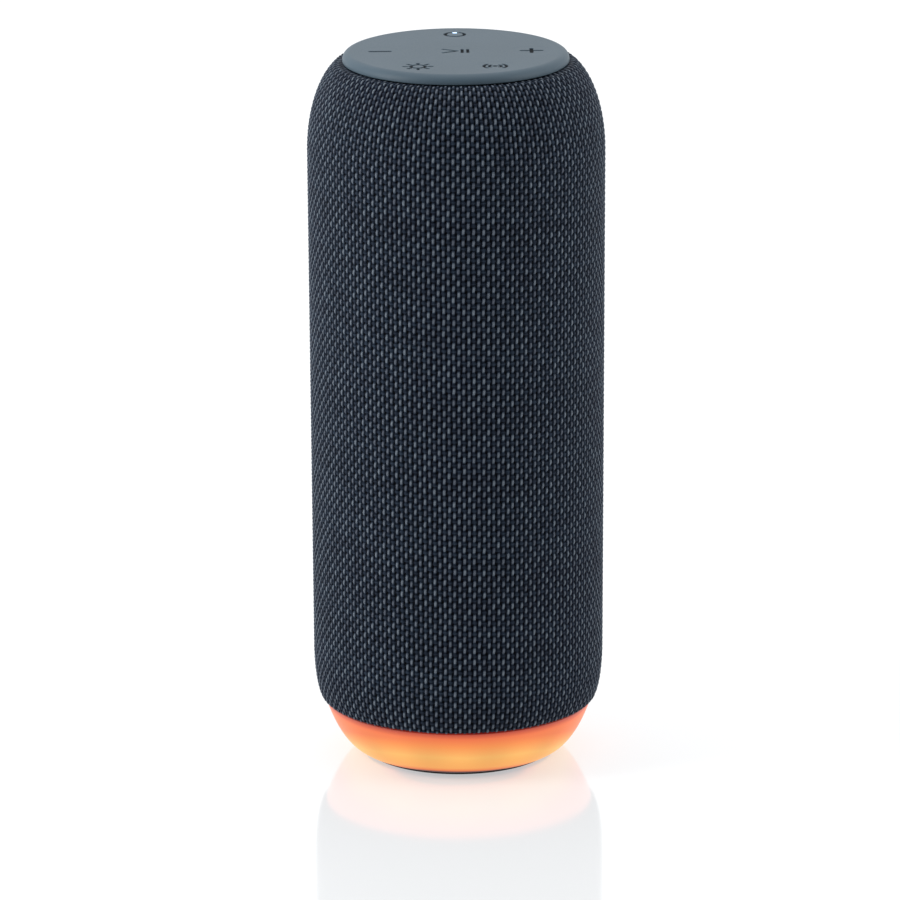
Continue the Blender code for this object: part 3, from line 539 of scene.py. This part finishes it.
def weave(u, v, chance):
    """A plain weave at column place u and row place v: its height, its painted light (a painted highlight
    on the crowns, painted shade on the flanks, the weft and the pits), and its tint.
    """
    column = np.round(u)
    row = np.round(v)
    lean = FLOAT_LEAN * (v - column - 2 * np.round((v - column) / 2))
    warp_side = u - column + stray(v, column, 0.71, 12.9898) - lean
    weft_side = v - row + stray(u, row, 0.53, 78.233)
    warp_edge = np.clip(np.abs(warp_side) / WARP_HALF_WIDTH, 0, 1)
    weft_edge = np.clip(np.abs(weft_side) / WEFT_HALF_WIDTH, 0, 1)
    warp_rise = np.cos(math.pi * (v - column))
    weft_rise = -np.cos(math.pi * (u - row))
    warp = WARP_WAVE * warp_rise - round_fall(warp_edge, WARP_ROUNDING)
    weft = WEFT_WAVE * weft_rise - WEFT_SINK - round_fall(weft_edge, WEFT_ROUNDING)
    warp = np.where(warp_edge < 1, warp, -1.0)
    weft = np.where(weft_edge < 1, weft, -1.0)
    on_top = warp > weft
    height = np.maximum(np.maximum(warp, weft), -PIT_DEPTH)

    # Painted light: the yarn flanks, the deeper weft and the ply groove are darkened as painted shade, the
    # warp crowns are lightened as a painted highlight, and the pits are set to black.
    ply_painted_shade = 1 - PLY_PAINTED_SHADE * np.exp(-(warp_edge / PLY_PAINTED_SHADE_WIDTH) ** 2)
    warp_painted_light = ply_painted_shade * np.clip(0.62 + 0.70 * warp_rise, 0, 1) * (1 - 0.9 * warp_edge ** 2)
    weft_painted_light = np.clip(0.20 + 0.30 * weft_rise, 0, 1) * (1 - 0.9 * weft_edge ** 2)
    painted_light = np.where(on_top, warp_painted_light, weft_painted_light) * (height > -PIT_DEPTH)
    float_id = np.round((v - column) / 2).astype(int) % chance.shape[1]
    pick_id = row.astype(int) % chance.shape[1]
    tint = np.where(on_top, chance[column.astype(int) % COLUMNS, float_id], chance[0, pick_id])
    return height, painted_light, tint


def fold_window(x, y, z):
    """Draw the fabric near the port's window to its edge and tuck it in behind.

    It also gives how far inside the window each point is, below zero outside it.
    """
    half = WINDOW_HIGH.x + GAP
    bottom, top = WINDOW_LOW.z - GAP, WINDOW_HIGH.z + GAP
    margins = np.stack([half - np.abs(x), z - bottom, top - z])
    nearest = margins.argmin(axis=0)
    inside = np.where(y > 0, margins.min(axis=0), -BODY_R)
    rim = (inside > -RIM_OUTSIDE) & (inside < RIM_INSIDE)
    x = np.where(rim & (nearest == 0), np.sign(x) * half, x)
    z = np.where(rim & (nearest == 1), bottom, z)
    z = np.where(rim & (nearest == 2), top, z)
    y = np.where(rim & (inside > RIM_FOLD_START), y - HEM_FOLD, y)
    return x, y, z, inside


def tube_mesh(name, vertices, kept, values):
    """A tube of four-sided faces over a grid of points, leaving out the points not kept.

    The UVs unroll the tube, and each entry of values becomes an attribute on the points.
    """
    count_up, around = kept.shape
    level, step = np.meshgrid(np.arange(count_up - 1), np.arange(around), indexing="ij")
    after = (step + 1) % around
    quads = np.stack([level * around + step, level * around + after,
                      (level + 1) * around + after, (level + 1) * around + step], axis=2).reshape(-1, 4)
    uv_u = np.stack([step, step + 1, step + 1, step], axis=2).reshape(-1, 4) / around
    uv_v = np.stack([level, level, level + 1, level + 1], axis=2).reshape(-1, 4) / (count_up - 1)
    whole = kept.ravel()[quads].all(axis=1)
    quads = quads[whole]
    uv = np.stack([uv_u[whole].ravel(), uv_v[whole].ravel()], axis=1)
    used = np.unique(quads)
    renumber = np.zeros(len(vertices), int)
    renumber[used] = np.arange(len(used))

    mesh = bpy.data.meshes.new(name)
    mesh.vertices.add(len(used))
    mesh.vertices.foreach_set("co", vertices[used].ravel())
    mesh.loops.add(quads.size)
    mesh.loops.foreach_set("vertex_index", renumber[quads].ravel())
    mesh.polygons.add(len(quads))
    mesh.polygons.foreach_set("loop_start", np.arange(0, quads.size, 4))
    mesh.update(calc_edges=True)
    layer = mesh.uv_layers.new(name="OFBake")
    layer.data.foreach_set("uv", uv.ravel())
    for label, value in values.items():
        set_attribute(mesh, label, value.ravel()[used])
    return mesh


def make_sleeve(looks):
    """The woven sleeve: the weave's relief laid on the body, with folded hems and port window."""
    points, normal, rows, length = sleeve_line()
    around = COLUMNS * SAMPLES_ACROSS
    angle = np.arange(around) * 2 * math.pi / around
    u_grid, row_grid = np.meshgrid(np.arange(around) / SAMPLES_ACROSS, rows)
    v_grid = row_grid + ROWS_PER_TURN * u_grid / COLUMNS
    chance = np.random.default_rng(7).random((COLUMNS, len(rows)))
    height, painted_light, tint = weave(u_grid, v_grid, chance)
    from_hem = np.minimum(row_grid, row_grid.max() - row_grid) * ROW_PITCH
    drop = (height - WARP_WAVE) * np.clip(from_hem / HEM_SETTLE, HEM_RELIEF, 1)
    radius = points[:, 0][:, None] + normal[:, 0][:, None] * drop
    z = points[:, 1][:, None] + normal[:, 1][:, None] * drop
    x, y, z, inside = fold_window(radius * np.cos(angle), radius * np.sin(angle), z)

    vertices = np.stack([x, y, z], axis=2).reshape(-1, 3) * MM
    # The painted light of crowns and pits goes onto the mesh as an attribute that sets the yarn's colour.
    mesh = tube_mesh("woven_sleeve", vertices, inside < RIM_INSIDE, {"painted_light": painted_light, "tint": tint})
    sleeve = finish_mesh("woven_sleeve", mesh, looks["fabric"], sharp=0)
    settle(sleeve, "body", "fabric_sleeve")


# ---------------------------------------------------------------- key icons
def to_segment(x, y, start, stop):
    """Distance from each point to a straight stroke."""
    ax, ay = start
    bx, by = stop[0] - ax, stop[1] - ay
    t = np.clip(((x - ax) * bx + (y - ay) * by) / (bx * bx + by * by), 0, 1)
    return np.hypot(x - ax - t * bx, y - ay - t * by)


def to_arc(x, y, radius, middle, half_angle):
    """Distance to an arc about the key's centre, angles in degrees."""
    angle = np.degrees(np.arctan2(y, x)) - middle
    angle = (angle + 180) % 360 - 180
    nearest = np.radians(middle + np.clip(angle, -half_angle, half_angle))
    return np.hypot(x - radius * np.cos(nearest), y - radius * np.sin(nearest))


def icon_distance(name, x, y):
    """Distance from each point to the icon's strokes, less half their width."""
    if name == "minus_key":
        return to_segment(x, y, (-2.55, 0), (2.55, 0)) - 0.55
    if name == "plus_key":
        across = to_segment(x, y, (-2.65, 0), (2.65, 0))
        return np.minimum(across, to_segment(x, y, (0, -2.4), (0, 2.4))) - 0.5
    if name == "play_key":
        strokes = [((-3.4, 2.1), (0.4, 0)), ((-3.4, -2.1), (0.4, 0)),
                   ((1.7, -1.9), (1.7, 1.9)), ((3.2, -1.9), (3.2, 1.9))]
        return np.min([to_segment(x, y, *stroke) for stroke in strokes], axis=0) - 0.38
    if name == "light_key":
        ring = np.abs(np.hypot(x, y) - 1.9)
        rays = []
        for index in range(8):
            angle = math.pi * index / 4
            near = (2.9 * math.cos(angle), 2.9 * math.sin(angle))
            far = (3.7 * math.cos(angle), 3.7 * math.sin(angle))
            rays.append(to_segment(x, y, near, far))
        return np.min([ring, *rays], axis=0) - 0.42
    if name == "pairing_key":
        waves = [to_arc(x, y, radius, middle, 45) for radius in (1.6, 3.0) for middle in (0, 180)]
        return np.min([np.hypot(x, y) - 0.3, *waves], axis=0) - 0.4
    return to_arc(x, y, 2.6, -90, 148) - 0.42


# ---------------------------------------------------------------- pad and keys
def make_membrane(name, centre, looks):
    """The pad's skin over one key: flat at its rim, with the icon sunk into it, closed below."""
    segments = 128
    radii = np.concatenate([np.linspace(0.12, ICON_R, 34), np.linspace(ICON_R + 0.1, MEMBRANE_R, 12)])
    angle = np.arange(segments) * 2 * math.pi / segments
    radius_grid, angle_grid = np.meshgrid(radii, angle, indexing="ij")
    x = radius_grid * np.cos(angle_grid)
    y = radius_grid * np.sin(angle_grid)
    groove = ease(0.5 - icon_distance(name, x, y) / GROOVE_WALL)
    dish = ease((DIP_START - radius_grid) / (DIP_START - DIP_END))
    depth = MEMBRANE_DIP * dish + GROOVE_DEPTH * groove
    if name == "power_key":
        pipe = (PIPE_LOW + PIPE_HIGH) / 2 - centre
        from_well = np.hypot(x - pipe.x, y - pipe.y) - PIPE_WELL_R
        well = np.clip(0.5 - from_well / GROOVE_WALL, 0, 1)
        depth = np.maximum(depth, well * (MEMBRANE_T - 0.02))

    form = bmesh.new()
    groove_painted_shade = form.verts.layers.float.new("groove_painted_shade")
    rings = []
    for level in range(len(radii)):
        ring = []
        for step in range(segments):
            place = (centre.x + x[level, step], centre.y + y[level, step], PAD_TOP - depth[level, step])
            vert = form.verts.new(Vector(place) * MM)
            # each point's share of the groove, which gets painted shade in the colour
            vert[groove_painted_shade] = groove[level, step]
            ring.append(vert)
        rings.append(ring)
    underside = (PAD_TOP - MEMBRANE_T) * MM
    rings.append([form.verts.new((vert.co.x, vert.co.y, underside)) for vert in rings[-1]])
    form.faces.new(rings[0])
    form.faces.new(rings[-1])
    for low, high in zip(rings, rings[1:]):
        join_rings(form, low, high)
    skin = from_form(name + "_skin", form, looks["pad_silicone"], sharp=60)
    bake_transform(skin)


def make_plunger(name, centre, looks):
    """The disc and stem under the skin that reach the key's switch."""
    foot = edges(name)[0].z
    top = PAD_TOP - MEMBRANE_T - SKIN_GAP
    shelf = top - PLUNGER_T
    edge_r = PLUNGER_R - PLUNGER_EDGE
    fillet_r = STEM_R + STEM_FILLET
    tip_r = STEM_R - STEM_EDGE
    profile = [(0, top)] + arc((edge_r, top - PLUNGER_EDGE), (PLUNGER_EDGE, PLUNGER_EDGE), 90, 0, 4)
    profile += [(PLUNGER_R, shelf)]
    profile += arc((fillet_r, shelf - STEM_FILLET), (STEM_FILLET, STEM_FILLET), 90, 180, 4)
    profile += arc((tip_r, foot + STEM_EDGE), (STEM_EDGE, STEM_EDGE), 0, -90, 3)
    profile += [(0, foot)]
    plunger = turned(name + "_plunger", profile, looks["pad_silicone"], 48, (centre.x, centre.y))
    settle(plunger, name, name)


def make_pad(looks):
    """The silicone pad with a hole for each key, and the keys' skins and plungers."""
    top, low = PAD_TOP, PAD_LOW.z
    lip = low + PAD_SEAT_H
    flat_r = PAD_R - PAD_EDGE_W
    rounding = arc((flat_r, top - PAD_EDGE_H), (PAD_EDGE_W, PAD_EDGE_H), 90, 0, 20)
    skirt_centre = (PAD_R - PAD_SKIRT_EDGE, lip + PAD_SKIRT_EDGE)
    skirt = arc(skirt_centre, (PAD_SKIRT_EDGE, PAD_SKIRT_EDGE), 0, -90, 5)
    profile = [(0, top), (flat_r - PAD_SHADING_RING, top)] + rounding + skirt
    profile += [(PAD_SEAT_R, lip), (PAD_SEAT_R, low), (0, low)]
    pad = turned("pad_body", profile, looks["pad_silicone"], 240)

    hole = [(0, low - 1), (MEMBRANE_R, low - 1), (MEMBRANE_R, top + 1), (0, top + 1)]
    for name in KEY_NAMES:
        key_low, key_high = edges(name)
        centre = (key_low + key_high) / 2
        make_plunger(name, centre, looks)
        make_membrane(name, centre, looks)
        cut = pad.modifiers.new(name, "BOOLEAN")
        cut.object = turned(name + "_hole", hole, looks["pad_silicone"], 128, (centre.x, centre.y))
        cut.operation = "DIFFERENCE"
    graph = bpy.context.evaluated_depsgraph_get()
    pad_mesh = bpy.data.meshes.new_from_object(pad.evaluated_get(graph))
    for cut in list(pad.modifiers):
        cutter = cut.object
        pad.modifiers.remove(cut)
        bpy.data.objects.remove(cutter)
    pad.data = pad_mesh
    pad_mesh.set_sharp_from_angle(angle=math.radians(35))
    set_attribute(pad_mesh, "groove_painted_shade", np.zeros(len(pad_mesh.vertices)))
    settle(pad, "body", "top_pad")


def make_light_pipe(looks):
    """The round rod that carries the power light up through its key."""
    low, high = PIPE_LOW.z, PIPE_HIGH.z
    centre = (PIPE_LOW + PIPE_HIGH) / 2
    profile = [(0, low), (PIPE_R, low)]
    profile += arc((PIPE_R - PIPE_EDGE, high - PIPE_EDGE), (PIPE_EDGE, PIPE_EDGE), 0, 90, 5)
    profile += [(0, high)]
    pipe = turned("power_light", profile, looks["light_pipe"], 40, (centre.x, centre.y))
    settle(pipe, "body", "power_light_pipe")


# ---------------------------------------------------------------- bowl and foot
def make_bowl(looks):
    """The translucent shell, open at its foot, with a flange over the foot ring."""
    rim_r, rim_top = BOWL_CURVE[0]
    rim_centre = (rim_r - BOWL_RIM_EDGE, rim_top - BOWL_RIM_EDGE)
    profile = arc(rim_centre, (BOWL_RIM_EDGE, BOWL_RIM_EDGE), 90, 20, 4)
    rim_end = profile[-1][1]
    curve = [tuple(bezier(BOWL_CURVE, step / BOWL_CURVE_STEPS)) for step in range(BOWL_CURVE_STEPS + 1)]
    profile += [point for point in curve if point[1] < rim_end]
    foot_gap_r = FOOT_R + GAP
    profile += [(foot_gap_r, profile[-1][1]), (foot_gap_r, BOWL_SEAT[1]), BOWL_SEAT, *BOWL_INSIDE]
    bowl = turned("lit_shell", profile, looks["lit_bowl"], 240)
    settle(bowl, "body", "light_bowl")


def make_foot(looks):
    """The rubber ring the speaker stands on."""
    rounding = (FOOT_EDGE, FOOT_EDGE)
    profile = arc((FOOT_R - FOOT_EDGE, FOOT_EDGE), rounding, -90, 0, 5)
    profile += [(FOOT_R, FOOT_TOP), (FOOT_INNER_R, FOOT_TOP)]
    profile += arc((FOOT_INNER_R + FOOT_EDGE, FOOT_EDGE), rounding, 180, 270, 5)
    foot = turned("rubber_foot", profile, looks["black_rubber"])
    settle(foot, "body", "foot_ring")


# ---------------------------------------------------------------- carried CAD pieces
def dress_carried(looks):
    """Every CAD piece still shown gets its look, and the port's pieces a small edge bevel."""
    for name, node in frame["nodes"].items():
        if node.hide_render:
            continue
        node.data.materials.clear()
        node.data.materials.append(looks[SLOTS[name]].material)
        if name in ("port_bezel", "port_cover", "usb_socket", "aux_socket"):
            rounding = node.modifiers.new("Edges", "BEVEL")
            rounding.width = 0.18 * MM
            rounding.segments = 3
            rounding.limit_method = "ANGLE"
            rounding.angle_limit = math.radians(40)


# ---------------------------------------------------------------- stage
def make_floor():
    """A glossy opal sheet, lit faintly from below."""
    reach = FLOOR_REACH * MM
    corners = [(-reach, -reach, 0), (reach, -reach, 0), (reach, reach, 0), (-reach, reach, 0)]
    mesh = bpy.data.meshes.new("floor")
    mesh.from_pydata(corners, [], [(0, 1, 2, 3)])
    look = Shader("floor_gloss", 0.09)
    look.link("Base Color", look.ramp(look.noise(1.5, 2.0), FLOOR_SHADES))
    look.set("IOR", 1.6)
    look.set("Emission Color", FLOOR_GLOW_COLOUR)
    look.set("Emission Strength", FLOOR_GLOW)
    mesh.materials.append(look.material)
    floor = bpy.data.objects.new("floor", mesh)
    bpy.context.scene.collection.objects.link(floor)


def make_lamps():
    """A soft box on each side of the speaker, turned towards it."""
    for name, power, place in LAMPS:
        lamp = bpy.data.lights.new(name, "AREA")
        lamp.shape = "RECTANGLE"
        lamp.size = LAMP_SIZE[0] * MM
        lamp.size_y = LAMP_SIZE[1] * MM
        lamp.energy = power
        box = bpy.data.objects.new(name, lamp)
        box.location = Vector(place) * MM
        box.rotation_euler = (Vector(LAMP_AIM) - Vector(place)).to_track_quat("-Z", "Y").to_euler()
        bpy.context.scene.collection.objects.link(box)


def soft_step(tree, value, start, stop, low, high):
    """A value that eases from low to high as the one fed in goes from start to stop."""
    node = tree.nodes.new("ShaderNodeMapRange")
    node.interpolation_type = "SMOOTHSTEP"
    settings = {"From Min": start, "From Max": stop, "To Min": low, "To Max": high}
    for socket, setting in settings.items():
        node.inputs[socket].default_value = setting
    tree.links.new(value, node.inputs["Value"])
    return node.outputs["Result"]


def make_room():
    """A white room: dim in front of the speaker, bright behind it and overhead, plain white to look at."""
    world = bpy.data.worlds.new("white_room")
    world.use_nodes = True
    tree = world.node_tree
    split = tree.nodes.new("ShaderNodeSeparateXYZ")
    tree.links.new(tree.nodes.new("ShaderNodeTexCoord").outputs["Generated"], split.inputs["Vector"])
    total = tree.nodes.new("ShaderNodeMath")
    back = soft_step(tree, split.outputs["Y"], -0.75, 0.25, ROOM_FRONT, ROOM_BACK)
    ceiling = soft_step(tree, split.outputs["Z"], 0.55, 0.9, 0.0, ROOM_CEILING)
    tree.links.new(back, total.inputs[0])
    tree.links.new(ceiling, total.inputs[1])
    lit = tree.nodes["Background"]
    lit.inputs["Color"].default_value = (1.0, 1.0, 1.0, 1.0)
    tree.links.new(total.outputs[0], lit.inputs["Strength"])
    seen = tree.nodes.new("ShaderNodeBackground")
    seen.inputs["Color"].default_value = (1.0, 1.0, 1.0, 1.0)
    choice = tree.nodes.new("ShaderNodeMixShader")
    tree.links.new(tree.nodes.new("ShaderNodeLightPath").outputs["Is Camera Ray"], choice.inputs["Fac"])
    tree.links.new(lit.outputs["Background"], choice.inputs[1])
    tree.links.new(seen.outputs["Background"], choice.inputs[2])
    tree.links.new(choice.outputs["Shader"], tree.nodes["World Output"].inputs["Surface"])
    bpy.context.scene.world = world


def make_camera():
    """A long lens a little above the speaker."""
    camera = bpy.data.objects.new("camera", bpy.data.cameras.new("camera"))
    camera.data.lens = CAMERA_LENS
    camera.data.sensor_width = CAMERA_SENSOR
    camera.data.clip_end = 50.0
    place = Matrix.Translation(Vector(CAMERA_PLACE) * MM)
    turn = Matrix.Rotation(math.radians(CAMERA_TURN), 4, "Z")
    tilt = Matrix.Rotation(math.radians(CAMERA_TILT), 4, "X")
    roll = Matrix.Rotation(math.radians(CAMERA_ROLL), 4, "Z")
    camera.matrix_world = turn @ place @ tilt @ roll
    bpy.context.scene.collection.objects.link(camera)
    bpy.context.scene.camera = camera
    bpy.context.scene.view_settings.view_transform = "Standard"


LOOKS = make_looks()
make_sleeve(LOOKS)
make_pad(LOOKS)
make_light_pipe(LOOKS)
make_bowl(LOOKS)
make_foot(LOOKS)
dress_carried(LOOKS)
make_floor()
make_lamps()
make_room()
make_camera()
